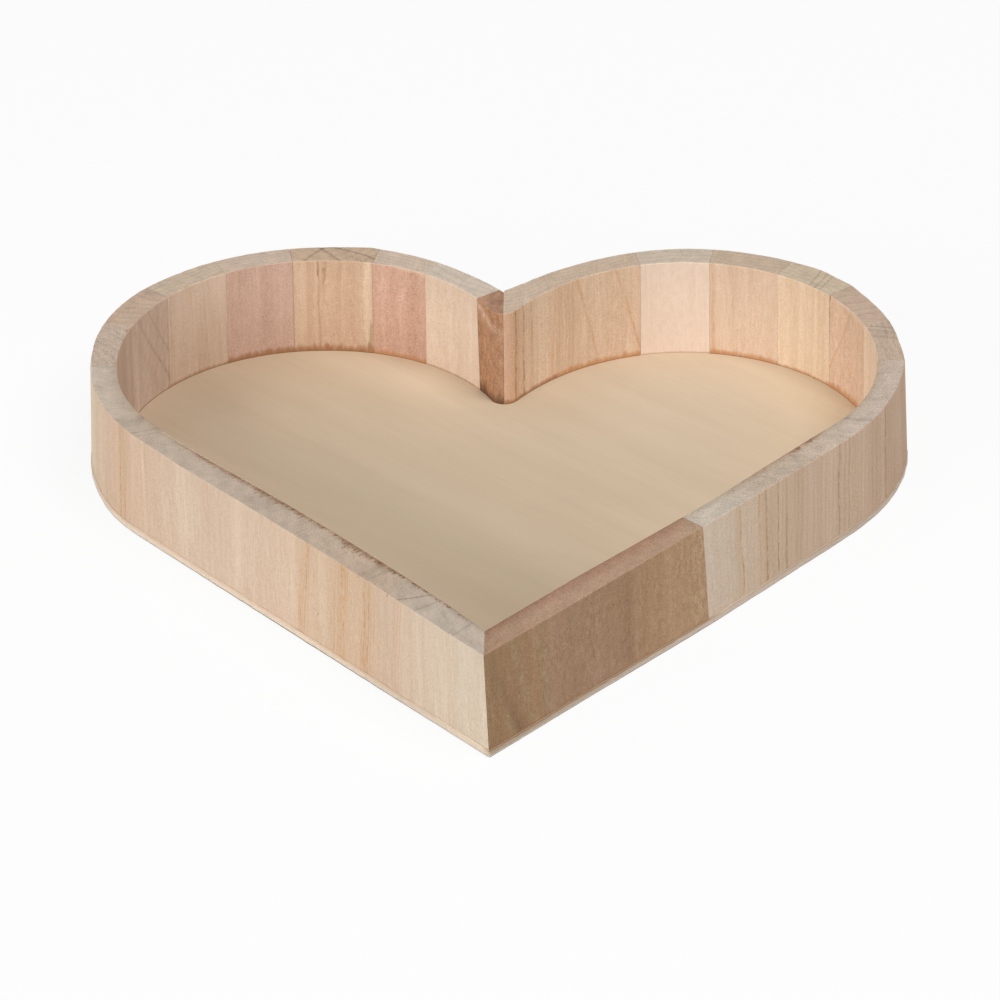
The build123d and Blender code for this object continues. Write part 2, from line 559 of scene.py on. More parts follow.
# Upright wood: along and depth run across the grain and height runs with it, so every pattern is stretched
# up the faces and turns into specks, hatching and rings on the sawn tops.
def woodLook(name, wood, seed):
    look, shader, place = newLook(name)
    height = place.axis(2) - floorZ / mm
    along = place.attribute("along") / mm
    depth = place.attribute("depth") / mm
    inner = place.attribute("inside")
    endGrain = place.attribute("endGrain")
    ragged = place.attribute("torn")
    s = along + seedApart * seed

    def grain(pattern, x):
        fast = patterns[pattern]
        return place.noise(x * fast[0], depth * fast[1], height * fast[2], *fast[3:])

    # fibres wander a little on their way up
    wander = grain("wander", s)
    mottle = grain("mottle", s)
    grit = grain("grit", s)
    line = s + wander * wood["sway"] + mottle * 0.16
    fibre = grain("fibre", line)
    band = grain("band", line)
    broad = grain("broad", line)
    rare = wood["dashRare"]
    dash = place.noise(line * 3.1, depth * 3.1, height * wood["dashShort"], 1.0).step(rare, rare + 0.65)
    # rings about a pith line that leans with height
    pith, behind, pithLean, spacing, lateStrong = wood["rings"]
    ringX = along - pith - height * pithLean + wander * 0.7
    ringY = depth + behind
    rho = (ringX * ringX + ringY * ringY).maths("SQRT") / spacing + broad * 0.35
    turn = rho.maths("FRACT")
    late = turn.step(0.5, 0.93) * (1 - turn.step(0.94, 1.0))
    # faces: one tone or several along the board, and the late wood that much darker
    tone = along.ramp(wood["tone"])
    lateShare = (late * lateStrong + band * wood["bands"] + 0.2).clamp()
    tint = lateShare.blend(tone, tone.tinted(wood["late"]))
    marks = {}
    broken = (fibre * 0.45 + mottle * 0.75 + grit * 0.2 + 0.6).clamp()
    for at, wide, lean, low, high, stain in wood["streaks"]:
        leant = (height - boardTall / 2) * (lean / boardTall)
        x = (along + wander * 0.7 + mottle * 0.4 - at - leant) / wide
        mask = x.bell() * (height * ((high - low) / boardTall) + low).clamp()
        marks[stain] = marks[stain].maths("MAXIMUM", mask) if stain in marks else mask
    for stain, mask in marks.items():
        whole = stain in ("pale", "smear")   # the others are broken up by the grain
        tint = (mask if whole else mask * broken).blend(tint, stains[stain])
    shade = 1 + fibre * wood["fibre"] + broad * wood["broad"] + mottle * wood["mottle"]
    shade = shade + grit * wood["grit"] - dash * wood["dashes"]
    if wood["rise"]:
        shade = shade + (height - boardTall / 2) * (wood["rise"] / (boardTall / 2))
    if wood["pits"]:
        patch = place.noise(s * 0.06, 5.1, height * 0.06, 1.0).step(-0.7, 0.5)
        shade = shade - grain("pit", s).step(0.8, 1.25) * patch * wood["pits"]
    tint = tint.tinted(place.vector(shade, shade.maths("POWER", 1.3), shade.maths("POWER", 1.6)))
    for at, up, wide, tall, stain, strong in wood["knotsAndHighlights"]:
        x = (along + mottle * 0.4 - at) / wide
        y = (height + mottle * 0.8 - up) / tall
        tint = (x.bell(y).step(0.25, 0.75) * strong).blend(tint, stains[stain])
    # a darker, warmer band at the foot of the inside faces, ragged along its top, with a dark hairline where
    # it meets the floor
    fray = place.noise(s * 0.45, 3.3, height * 0.15, 3.0, 0.65) * wood["footRagged"] + grit * 0.2
    creep = height / wood["footHigh"] - fray
    foot = (1 - creep.step(0.55, 1.2)) * 0.62 + (1 - creep.step(0.1, 0.8)) * 0.38
    tint = (foot * inner * wood["foot"]).blend(tint, footTints[wood["footColour"]])
    hair = (1 - (height + mottle * 0.12).step(0.12, 0.5)) * inner * wood["hair"]
    tint = hair.blend(tint, footTints["dark"])
    # glue line outside, where the board stands on the base
    seam = (1 - (height + mottle * 0.15).step(0.1, 0.6)) * (1 - inner) * wood["seam"]
    tint = seam.blend(tint, footTints["brown"])
    # sawn tops: pores, hatching left by the saw, and the rings
    speck = place.noise(s * 2.3, depth * 2.3, seed * 3.1, 2.0, 0.7)
    hatch = place.noise((s - depth * 0.5) * 1.6, (depth + s * 0.5) * 0.14, seed * 1.7, 1.0)
    cloud = place.noise(s * 0.2, depth * 0.2, seed * 2.3, 1.0)
    rough = wood["topSpeck"]
    topShade = 1 + speck * (0.17 * rough) + hatch * 0.07 + cloud * wood["topCloud"]
    topShade = topShade - speck.step(0.7, 1.4) * (0.14 * rough)
    topShade = topShade + (depth - boardHalf) * (wood["topAcross"] / boardHalf)
    topShade = topShade - late * wood["topRings"]
    for at, wide, slant, strong in wood["topLines"]:
        x = (along + hatch * 0.25 - at - (depth - 5) * (slant / 10)) / wide
        topShade = topShade - x.bell() * strong
    topTint = topShade.scale(along.ramp(wood["top"]))
    for at, wide, stripe in wood["topStripes"]:
        x = (place.attribute("fromInner") / mm + hatch * 0.25 - at) / wide
        topTint = topTint.tinted(x.bell().blend((1, 1, 1), stripe))
    tint = endGrain.step(0.3, 0.75).blend(tint, topTint)
    # the torn edge: a pale fringe, rags behind it, and painted shade at the bottom of the groove
    tint = (place.attribute("fringe") * 0.5).blend(tint, tornTints["fringe"])
    tint = (ragged.step(0.05, 0.6) * 0.6).blend(tint, tornTints["rag"])
    # painted shade where the torn groove lies deepest
    grooveShade = (ragged + hatch * 0.25 + speck * 0.12).step(0.72, 1.2) * 0.75
    tint = grooveShade.blend(tint, tornTints["grooveShade"])
    wire(shader, "Base Color", tint)
    wire(shader, "Roughness", (0.68 + fibre * 0.05 + endGrain * 0.12).clamp())
    relief = fibre * 0.4 + grit * 0.35 - dash * 0.8 + endGrain * (speck * 0.9 + hatch * 0.6)
    bump = place.add("ShaderNodeBump", None, {"Strength": 0.4, "Distance": 0.12 * mm, "Height": relief})
    wire(shader, "Normal", bump)
    return look


# every upright piece: its tone on the faces, late wood as a share of that, its sawn top and what marks it
# rings: the pith's mm along and mm outside the face, its lean, the rings' spacing and strength
# streaks: mm along, half width, lean to the top, strength at foot and head, stain
# knotsAndHighlights: mm along and up, half width and height, stain, strength; the pale ones at a stave's head
# are painted highlights on its worn top arris
# topLines: mm along, half width, slant in 10 mm, strength; topStripes: mm from the inside, half width, tint
# torn and fringe: mm along with the tear's strength, and with the mm it keeps from the inner edge
# lean: mm from foot to head, 0 or 1 for which end, and how far it fades
woods = {
    "left_limb_board": {
        "tone": [
            (12, (0.754, 0.607, 0.458)), (22, (0.707, 0.552, 0.407)), (35, (0.652, 0.477, 0.344)),
            (60, (0.665, 0.497, 0.366)), (85, (0.672, 0.517, 0.396)), (130, (0.679, 0.520, 0.391)),
            (160, (0.665, 0.497, 0.358)), (180, (0.632, 0.462, 0.326)), (198, (0.626, 0.477, 0.358)),
            (212, (0.649, 0.516, 0.394)), (240, (0.657, 0.548, 0.427)),
        ],
        "late": (0.925, 0.875, 0.829),
        "top": [
            (0, (0.576, 0.484, 0.399)), (28, (0.567, 0.469, 0.384)), (45, (0.523, 0.422, 0.334)),
            (100, (0.503, 0.406, 0.325)), (150, (0.502, 0.399, 0.312)), (176, (0.508, 0.390, 0.297)),
            (192, (0.490, 0.375, 0.287)), (206, (0.484, 0.391, 0.310)), (225, (0.514, 0.430, 0.353)),
            (250, (0.519, 0.430, 0.353)),
        ],
        "rings": (150, 40, 0.0, 3.4, 0.2), "rise": -0.015, "bands": 0.25, "fibre": 0.06, "grit": 0.085,
        "dashes": 0.1, "foot": 0.3, "seam": 0.2, "topSpeck": 1.6, "topCloud": 0.1, "topRings": 0.03,
        "streaks": [
            (38, 1.6, 0.5, 0.2, 0.3, "rose"), (42.4, 0.26, 0.8, 0.72, 0.43, "orange"),
            (43.5, 0.34, 0.8, 1.3, 0.65, "brown"), (44.5, 2.6, 1, 0.24, 0.16, "orange"),
            (45.3, 0.26, 0.6, 0.87, 0.43, "orange"), (46.5, 0.34, 0.5, 0.72, 0.29, "brown"),
            (50, 2, 0, 0.15, 0.25, "rose"), (58.4, 0.6, 0, 0.25, 0.35, "pale"),
            (96, 0.26, 0.5, 0.22, 0.43, "orange"), (147.5, 0.3, 4.5, 1.01, 0.22, "orange"),
            (148.5, 0.26, 4.8, 0.87, 0.58, "orange"), (149.4, 0.26, 5, 0.72, 0.87, "orange"),
            (150.5, 0.3, 4.4, 0.6, 1.15, "brown"), (151.8, 0.3, 3, 0.29, 0.87, "orange"),
            (149.5, 2.4, 5, 0.24, 0.2, "orange"), (167, 0.34, 1.5, 0.87, 0.22, "orange"),
            (168.6, 0.26, 1.3, 0.72, 0.58, "orange"), (169.6, 0.24, 1.1, 0.72, 1.01, "orange"),
            (170.4, 0.3, 1, 0.9, 1.7, "brown"), (171.2, 0.24, 0.9, 0.72, 1.3, "orange"),
            (172.0, 0.3, 0.8, 0.8, 1.8, "brown"), (172.8, 0.24, 0.7, 0.58, 1.3, "orange"),
            (173.8, 0.26, 0.6, 0.43, 1.01, "orange"), (171.3, 2.4, 1, 0.2, 0.28, "orange"),
            (182.2, 0.26, 2.3, 1.01, 0.43, "orange"), (183.3, 0.34, 2.2, 1.8, 0.6, "brown"),
            (184.4, 0.26, 2.1, 1.16, 0.51, "orange"), (185.6, 0.32, 2, 1.7, 0.65, "brown"),
            (186.9, 0.26, 1.6, 0.72, 0.51, "orange"), (184.2, 2.4, 2.5, 0.28, 0.16, "orange"),
            (188.4, 0.3, 1.2, 0.51, 0.58, "orange"), (199.6, 0.26, 2.4, 0.43, 0.58, "orange"),
            (201, 1.6, 2.5, 0.12, 0.18, "orange"), (201.4, 0.26, 2.2, 0.43, 0.65, "orange"),
            (203, 0.3, 2, 0.29, 0.58, "orange"), (216, 0.6, 1, 0.15, 0.2, "orange"),
            (230, 0.6, 0.8, 0.3, 0.25, "orange"), (231.5, 0.26, 0.6, 0.36, 0.43, "orange"),
        ],
        "knotsAndHighlights": [
            (196.6, 38.2, 0.35, 0.8, "umber", 0.8), (95, 24, 0.25, 0.5, "brown", 0.7),
            (180.2, 38, 0.35, 0.7, "umber", 0.7), (155.3, 13.4, 0.35, 0.5, "brown", 0.8),
            (157.4, 12.4, 0.3, 0.6, "brown", 0.8), (150.6, 16, 0.3, 0.5, "brown", 0.6),
        ],
        "topLines": [
            (43, 3, 3, 0.12), (53, 0.8, 4, 0.16), (56, 0.6, 4, 0.12), (120, 6, 4, 0.06),
            (184, 1.2, 6, 0.14), (187.5, 0.7, 6, 0.14), (207, 0.4, 10, 0.4), (215, 0.5, 7, 0.2),
            (227, 4, 5, 0.07), (236, 0.5, 6, 0.2),
        ],
        "topStripes": [(0, 3.0, (0.85, 0.81, 0.77))],
        "torn": [
            (55, 0), (62, 0.35), (80, 0.5), (90, 0.75), (105, 0.8), (120, 0.95), (150, 0.8), (158, 0.35),
            (163, 0.75), (168, 1.5), (177, 1.4), (184, 1.0), (195, 0.85), (200, 0.7), (204, 0.4),
            (209, 0.6), (224, 0.55), (238, 0.5), (247, 0.2),
        ],
        "fringe": [(58, 1.5), (75, 1.1), (100, 0.5), (130, 0.3), (250, 0.25)],
    },
    "right_limb_board": {
        "tone": [
            (6, (0.642, 0.451, 0.323)), (28, (0.641, 0.459, 0.332)), (42, (0.648, 0.468, 0.341)),
            (60, (0.663, 0.495, 0.365)), (76, (0.644, 0.484, 0.359)), (100, (0.664, 0.496, 0.361)),
            (114, (0.687, 0.538, 0.409)), (140, (0.713, 0.585, 0.468)),
        ],
        "late": (0.872, 0.837, 0.798),
        "top": [
            (0, (0.597, 0.484, 0.396)), (12, (0.560, 0.460, 0.380)), (50, (0.566, 0.468, 0.388)),
            (75, (0.556, 0.443, 0.350)), (100, (0.517, 0.413, 0.323)), (112, (0.530, 0.430, 0.343)),
            (124, (0.566, 0.487, 0.404)), (140, (0.566, 0.487, 0.404)),
        ],
        "rings": (120, 30, 0.0, 3.0, 0.14), "bands": 0.2, "fibre": 0.035, "grit": 0.1, "dashes": 0.1,
        "foot": 0.3, "seam": 0.1, "topSpeck": 2.3, "topCloud": 0.1, "topRings": 0.05,
        "lean": (2.0, 1, 30),
        "streaks": [
            (9, 2.5, 0, 0.2, 0.2, "brown"), (12.5, 0.4, 0.3, 0.4, 0.3, "umber"),
            (20, 0.35, 0.3, 0.3, 0.4, "brown"), (28, 0.9, 0, 0.25, 0.3, "brown"),
            (30.6, 0.35, 0.5, 0.5, 0.4, "brown"), (33.5, 0.5, 0.8, 0.8, 0.7, "umber"),
            (36, 1.6, 0, 0.15, 0.2, "pale"), (42, 0.4, 0.3, 0.5, 0.45, "brown"),
            (44.5, 0.35, 0.3, 0.4, 0.3, "brown"), (52, 0.4, 0.2, 0.35, 0.4, "brown"),
            (57.5, 0.35, 0.2, 0.5, 0.45, "brown"), (59.5, 0.4, 0.3, 0.55, 0.5, "umber"),
            (61.8, 0.35, 0.2, 0.55, 0.6, "brown"), (65, 0.45, 0.3, 0.5, 1.0, "umber"),
            (70, 3, 0, 0.15, 0.15, "pale"), (76, 0.3, 0.2, 0.2, 0.3, "brown"),
            (83, 0.35, 0.2, 0.3, 0.4, "brown"), (86, 0.35, 0.2, 0.35, 0.45, "brown"),
            (88.3, 0.4, 0.2, 0.4, 0.5, "umber"), (90, 0.9, 0, 0.1, 0.4, "brown"),
            (94.8, 0.5, 1.2, 0.9, 0.3, "umber"), (97, 0.35, 0.5, 0.45, 0.4, "brown"),
            (99.6, 0.45, 0.6, 0.9, 0.65, "umber"), (103, 0.35, 0.3, 0.4, 0.4, "brown"),
            (106.2, 0.45, 0.5, 1.1, 0.9, "umber"), (108, 1.8, 0.6, 0.7, 0.9, "tan"),
            (109.8, 0.4, 0.4, 0.6, 1.0, "brown"), (112, 0.35, 0.3, 0.3, 0.45, "tan"),
            (119.8, 0.45, 1.8, 1.0, 0.9, "brown"), (121.3, 1.4, 1.5, 0.6, 0.7, "tan"),
            (127, 0.3, 0.5, 0.15, 0.2, "tan"),
        ],
        "topLines": [(47, 1.5, 5, 0.15), (62, 1, 5, 0.12), (84, 1.2, -4, 0.12)],
        "topStripes": [(0, 2.6, (0.85, 0.81, 0.76))],
        "torn": [
            (58, 0), (64, 0.5), (70, 1.0), (77, 0.9), (84, 0.55), (96, 0.4), (115, 0.25), (135, 0.1),
            (140, 0),
        ],
    },
    "right_tip_board": {
        "tone": [
            (0, (0.499, 0.326, 0.196)), (28, (0.480, 0.303, 0.180)), (38, (0.424, 0.266, 0.164)),
            (55, (0.400, 0.254, 0.157)), (80, (0.415, 0.265, 0.164)), (90, (0.411, 0.256, 0.150)),
            (100, (0.364, 0.226, 0.128)), (115, (0.368, 0.228, 0.126)),
        ],
        "late": (0.805, 0.760, 0.756),
        "top": [
            (0, (0.427, 0.292, 0.193)), (12, (0.419, 0.268, 0.181)), (84, (0.419, 0.268, 0.181)),
            (96, (0.390, 0.249, 0.165)), (115, (0.373, 0.235, 0.155)),
        ],
        "rings": (40, 25, 0.0, 4.0, 0.1), "rise": -0.02, "sway": 0.9, "bands": 0.2, "broad": 0.08,
        "fibre": 0.03, "mottle": 0.09, "grit": 0.16, "dashes": 0.6, "dashShort": 1.0, "dashRare": 1.05,
        "pits": 0.42, "foot": 0.3, "seam": 0.6, "topSpeck": 2.1, "topRings": 0.04, "topAcross": -0.05,
        "lean": (2.0, 0, 30),
        "streaks": [
            (4, 4, 0, 0.3, 0.35, "tan"), (22, 0.8, 1, 0.15, 0.1, "umber"),
            (86, 2.2, 3, 0.6, 0.5, "olive"), (90.5, 1.4, 6, 0.5, 0.4, "umber"),
            (96, 1.6, 11, 0.45, 0.5, "olive"), (106, 2.4, 17, 0.7, 0.4, "umber"),
            (106, 2.8, 17, 0.8, 0.35, "bark"), (108, 1.6, 12, 0.4, 0.5, "olive"),
            (60, 6, 2, 0.15, 0.1, "rose"), (47, 3, -2, 0.2, 0.15, "umber"),
        ],
        "topStripes": [
            (2, 2.4, (0.98, 0.90, 0.88)), (0, 2.0, (0.87, 0.86, 0.85)), (0, 0.6, (0.82, 0.76, 0.72)),
            (8.5, 2.6, (1.03, 1.06, 1.09)),
        ],
    },
    "left_lobe_stave_1": {
        "tone": (0.631, 0.476, 0.379), "late": (0.839, 0.812, 0.794), "top": (0.554, 0.436, 0.347),
        "rings": (-10, 6, 0.25, 3.2, 0.35), "rise": 0.05, "dashes": 0.1, "foot": 0.3, "footHigh": 0.8,
        "topSpeck": 2.0, "lift": 0.02,
        "torn": [(0, 0.15), (2, 0.6), (4, 0.15), (20, 0.12), (27, 0.5), (29, 0.2)],
    },
    "left_lobe_stave_2": {
        "tone": (0.693, 0.536, 0.431), "late": (0.823, 0.792, 0.780), "top": (0.552, 0.410, 0.307),
        "rings": (60, 5, 0.5, 4.2, 0.3), "foot": 0.4, "footHigh": 0.9, "lift": -0.05,
        "streaks": [
            (17.8, 0.8, -25, 0.6, 0.35, "umber"), (25, 0.6, -23, 0.5, 0.3, "umber"),
            (11, 1.8, -22, 0.2, 0.15, "umber"), (26.7, 0.4, 0, 0.9, 0.15, "umber"),
        ],
    },
    "left_lobe_stave_3": {
        "tone": (0.753, 0.582, 0.456), "late": (0.887, 0.851, 0.818), "top": (0.583, 0.461, 0.349),
        "rings": (15, 50, 0.0, 2.4, 0.2), "rise": 0.045, "foot": 0.65, "footHigh": 1.5, "lift": 0.03,
        "streaks": [
            (11, 3, 0, 0, 0.3, "brown"), (13.5, 0.4, 0, 0.1, 0.35, "brown"),
            (14.6, 0.35, 0, 0.1, 0.3, "brown"), (0.6, 0.5, 0, 0.25, 0.35, "pale"),
            (22, 0.4, 0, 0.1, 0.2, "brown"),
        ],
        "torn": [(0, 0), (8, 0), (11, 0.6), (14, 0), (29, 0)],
    },
    "left_lobe_stave_4": {
        "tone": (0.689, 0.478, 0.383), "late": (0.878, 0.830, 0.812), "top": (0.618, 0.487, 0.384),
        "rings": (14, 80, 0.0, 2.0, 0.15), "fibre": 0.03, "mottle": 0.05, "grit": 0.12, "dashes": 0.14,
        "foot": 0.95, "footHigh": 2.8,
    },
    "left_lobe_stave_5": {
        "tone": (0.725, 0.510, 0.364), "late": (0.882, 0.840, 0.806), "top": (0.580, 0.426, 0.303),
        "rings": (12, 2, 0.0, 3.6, 0.3), "mottle": 0.05, "grit": 0.1, "dashes": 0.14, "foot": 0.95,
        "footHigh": 3.2, "lift": 0.04,
        "streaks": [
            (2.2, 2.2, 0, 0.32, 0.32, "pale"), (5.8, 0.6, 0, 0.5, 0.55, "rose"),
            (7.1, 0.5, 0, 0.35, 0.5, "rose"), (8.7, 0.7, 0, 0.3, 0.25, "pale"),
            (9.9, 0.4, -1.5, 0.4, 0.8, "resin"), (12, 0.75, -0.8, -2.2, 1.3, "resin"),
            (29.9, 2.2, 0, 0.45, 0.75, "pale"),
        ],
        "knotsAndHighlights": [(31.0, 8.0, 0.9, 6.5, "olive", 0.55), (30.2, 3.0, 0.8, 2.2, "umber", 0.6)],
        "topLines": [
            (8.5, 0.55, -8, 0.35), (14.2, 0.5, 8, 0.35), (25.4, 1.1, 22, 0.35), (20, 2, 12, 0.1),
        ],
    },
    "left_lobe_stave_6": {
        "tone": (0.719, 0.465, 0.353), "late": (0.893, 0.841, 0.814), "top": (0.640, 0.512, 0.406),
        "rings": (12, 90, 0.0, 2.2, 0.15), "rise": 0.04, "broad": 0.09, "fibre": 0.03, "mottle": 0.08,
        "grit": 0.13, "dashes": 0.12, "foot": 0.9, "footHigh": 2.2, "footColour": "orange", "lift": -0.03,
        # a painted highlight along the worn top arris, drawn as a pale knot
        "knotsAndHighlights": [(20, 39, 11, 1.6, "pale", 0.4)],
    },
    "left_lobe_stave_7": {
        "tone": (0.860, 0.689, 0.549), "late": (0.928, 0.894, 0.858), "top": (0.642, 0.540, 0.443),
        "rings": (14, 70, 0.0, 3.0, 0.15), "rise": -0.025, "fibre": 0.035, "dashes": 0.05, "foot": 0.5,
        "footHigh": 0.9, "footColour": "orange", "hair": 0.35, "lean": (-1.2, 1, 12),
    },
    "left_cleft_block": {
        "tone": (0.520, 0.293, 0.180), "late": (0.839, 0.780, 0.735), "top": (0.425, 0.244, 0.158),
        "rings": (5, 20, 0.1, 3.0, 0.25), "broad": 0.14, "mottle": 0.2, "grit": 0.2, "foot": 0.9,
        "footHigh": 4.0, "footColour": "dark", "topCloud": 0.25, "lean": (-1.2, 0, 12),
        "streaks": [
            (32.8, 4.2, -73, -2, 1.05, "smear"), (14, 3.5, 0, 0.7, -0.1, "umber"),
            (20, 2.5, -73, -1.5, 1, "umber"), (6, 3, 0, 0.35, 0.1, "orange"),
        ],
    },
    "right_lobe_stave_1": {
        "tone": (0.872, 0.690, 0.527), "late": (0.925, 0.861, 0.810), "top": (0.545, 0.418, 0.323),
        "rings": (14, 50, 0.0, 2.6, 0.2), "foot": 0.9, "footHigh": 1.7, "footColour": "orange",
        "topSpeck": 2.3, "lift": 0.02,
        "topLines": [(17, 1.2, 4, 0.14), (21.5, 0.6, 5, 0.2), (24.5, 0.5, 5, 0.2)],
    },
    "right_lobe_stave_2": {
        "tone": (0.779, 0.564, 0.417), "late": (0.923, 0.857, 0.799), "top": (0.560, 0.420, 0.317),
        "rings": (45, 4, 0.5, 4.5, 0.2), "mottle": 0.08, "grit": 0.12, "foot": 0.95, "footHigh": 2.7,
        "footColour": "orange", "lift": -0.04,
        "streaks": [(21, 0.6, -19, 0.5, 0.4, "orange"), (26.6, 0.45, -0.4, -0.6, 1.0, "resin")],
        # a painted highlight along the worn top arris, drawn as a pale knot
        "knotsAndHighlights": [(12, 38.6, 13, 1.6, "pale", 0.4)],
    },
    "right_lobe_stave_3": {
        "tone": (0.864, 0.678, 0.502), "late": (0.923, 0.871, 0.823), "top": (0.607, 0.488, 0.361),
        "rings": (13, 60, 0.0, 2.4, 0.2), "dashes": 0.05, "foot": 0.75, "footHigh": 1.4,
        "footColour": "orange",
        "streaks": [
            (1, 0.8, 0, 0.6, 0.6, "pale"), (3.4, 0.5, 0, 0.3, 0.35, "tan"),
            (6.1, 0.45, 0, 0.35, 0.4, "tan"), (9.5, 0.5, 0, 0.35, 0.35, "tan"),
            (12.9, 0.45, 0, 0.3, 0.3, "tan"), (16.9, 0.45, 0, 0.25, 0.3, "tan"),
            (26.5, 0.3, 0, 0.35, 0, "umber"),
        ],
        "topLines": [(8, 0.4, -3, 0.2), (10.5, 0.4, -3, 0.2), (13.5, 0.5, -3, 0.22)],
    },
    "right_lobe_stave_4": {
        "tone": (0.801, 0.615, 0.470), "late": (0.926, 0.869, 0.826), "top": (0.577, 0.448, 0.334),
        "rings": (14, 60, 0.0, 2.2, 0.15), "fibre": 0.065, "grit": 0.08, "dashes": 0.1, "foot": 0.95,
        "footHigh": 2.2, "footColour": "orange", "lift": 0.03,
        "streaks": [
            (27.9, 0.8, 0, 0.5, 0.5, "orange"), (10, 0.3, 0, 0.2, 0.2, "tan"),
            (16, 0.3, 0, 0.2, 0.25, "tan"),
        ],
    },
    "right_lobe_stave_5": {
        "tone": (0.881, 0.724, 0.604), "late": (0.955, 0.916, 0.880), "top": (0.616, 0.511, 0.409),
        "rings": (14, 90, 0.0, 3.0, 0.1), "broad": 0.02, "fibre": 0.025, "grit": 0.035, "dashes": 0.03,
        "foot": 0.35, "footHigh": 0.8, "footColour": "orange", "hair": 0.3,
        "streaks": [(23.7, 0.25, 0, 0, 0.3, "tan"), (25.8, 0.25, 0, 0, 0.35, "tan")],
    },
    "right_lobe_stave_6": {
        "tone": (0.774, 0.582, 0.431), "late": (0.903, 0.843, 0.790), "top": (0.596, 0.462, 0.349),
        "rings": (20, 55, 0.0, 2.2, 0.2), "fibre": 0.075, "grit": 0.1, "dashes": 0.18, "foot": 0.95,
        "footHigh": 2.4, "footColour": "orange", "lift": -0.02,
        "streaks": [
            (4.5, 0.55, 11.4, 0.75, 0.5, "orange"), (22.8, 0.6, 10, 0.5, 0.65, "orange"),
            (29.9, 0.25, 0, 0.5, 0.5, "brown"), (32, 0.3, 0.5, 0.3, 0.5, "orange"),
            (33.6, 0.3, 0.4, 0.35, 0.5, "orange"), (35.3, 0.3, 0.6, 0.3, 0.55, "orange"),
            (37, 0.3, 0.4, 0.25, 0.5, "orange"),
        ],
    },
    "right_cleft_block": {
        "tone": [
            (0, (0.823, 0.603, 0.433)), (6, (0.868, 0.678, 0.525)), (11, (0.880, 0.690, 0.520)),
            (14, (0.815, 0.606, 0.445)), (17, (0.850, 0.640, 0.472)), (21, (0.735, 0.495, 0.330)),
            (25, (0.760, 0.500, 0.330)), (29, (0.825, 0.580, 0.405)),
        ],
        "late": (0.882, 0.832, 0.784), "top": (0.614, 0.480, 0.367), "rings": (12, 40, 0.0, 2.4, 0.25),
        "grit": 0.12, "dashes": 0.14, "foot": 0.9, "footHigh": 1.9,
        "streaks": [
            (26.4, 3.0, 0, 0.8, 0.8, "rose"), (22.6, 0.37, 0, 0.9, 0.85, "umber"),
            (20.4, 1.3, 0, 0.3, 0.3, "pale"), (18, 0.43, 0, 0.85, 0.7, "umber"),
            (13.5, 0.5, 0, 0.35, 0.45, "umber"), (10.5, 1.2, 0, 0.3, 0.3, "brown"),
            (6.1, 0.37, 0, 0.3, 0.3, "orange"), (1.5, 0.6, -3.5, 0.5, 0.3, "orange"),
        ],
    },
}


def jointAngles(side):
    first = heart[side + "First"]
    pitch = (cleftDeg - first) / heart["pitchesToCleft"]
    return [first + pitch * j for j in heart[side + "Joints"]]


rimPlans = {"left_limb_board": limbPlan("left", heart["leftFirst"])}
rimPlans["right_limb_board"] = limbPlan("right", heart["rightFirst"], heart["rightTipBoard"])
rimPlans["right_tip_board"] = tipPlan("right", heart["rightTipBoard"])
for side in ("left", "right"):
    angles = jointAngles(side)
    for i, (start, end) in enumerate(zip(angles, angles[1:]), 1):
        rimPlans[f"{side}_lobe_stave_{i}"] = lobePlan(side, start, end)
    rimPlans[f"{side}_cleft_block"] = cleftPlan(side, angles[-1])

# lengths are walked along the middle of a lobe stave, the inside of a cleft block, the outside of a board
walkShares = {"lobe": 0.5, "cleft": 1.0, "limb": 0.0, "tip": 0.0}
for seed, (name, plan) in enumerate(rimPlans.items(), 1):
    wood = {**plainWood, **woods[name]}
    share = walkShares[name.split("_")[1]]
    piece = rimPiece(name, plan, name.startswith("left"), 100 * seed + 7, wood, share)
    piece.data.materials.append(woodLook(name, wood, seed))
print("rim:", len(rimPlans), "pieces")
